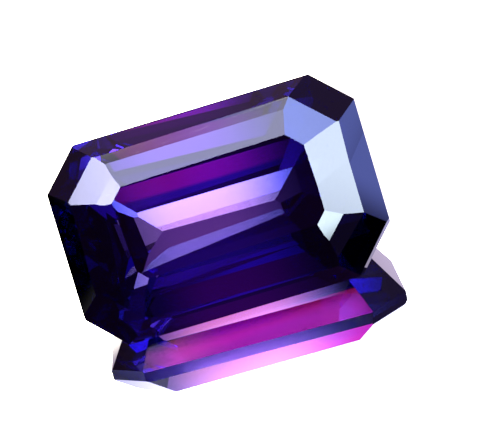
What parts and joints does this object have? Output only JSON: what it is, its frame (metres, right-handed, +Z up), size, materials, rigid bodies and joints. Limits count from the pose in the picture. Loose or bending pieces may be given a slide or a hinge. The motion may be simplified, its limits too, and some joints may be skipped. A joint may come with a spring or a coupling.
{
  "type": "emerald cut sapphire",
  "caption": "Loose violet sapphire, emerald cut: a long rectangle with cut corners, stepped crown and pavilion and a flat table, lying on a pavilion facet.",
  "frame": {"origin": "under the middle of the stone's box, on the surface it rests on", "axes": "+X along the stone's length, +Z up, and the table leans forward and up towards -Y"},
  "size_m": [0.008, 0.0044, 0.0046],
  "materials": {
    "violet_sapphire": "polished facets, ground girdle"
  },
  "bodies": {
    "root": {"sapphire": "violet_sapphire"}
  },
  "joints": []
}
